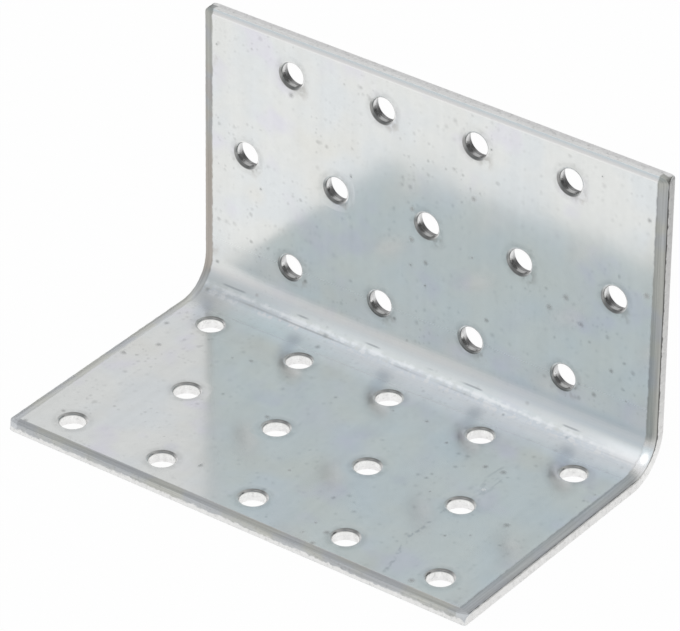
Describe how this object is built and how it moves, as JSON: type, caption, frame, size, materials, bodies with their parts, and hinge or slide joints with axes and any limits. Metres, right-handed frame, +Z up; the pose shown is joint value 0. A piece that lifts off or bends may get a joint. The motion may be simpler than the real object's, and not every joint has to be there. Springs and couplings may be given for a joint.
{
  "type": "perforated angle bracket",
  "caption": "Right-angle timber connector folded from thick galvanised sheet, with staggered nail holes over each leg and rolled edges on the inside.",
  "frame": {"origin": "middle of the footprint: centred along the fold and over the base's depth, on the underside of the base", "axes": "+X along the fold, +Y out of the back of the upright, +Z up along the upright"},
  "size_m": [0.0996, 0.0596, 0.0606],
  "materials": {
    "galvanised_steel": "hot-dip zinc, satin, faintly mottled, with grey cut edges"
  },
  "bodies": {
    "root": {"bracket": "galvanised_steel"}
  },
  "joints": []
}
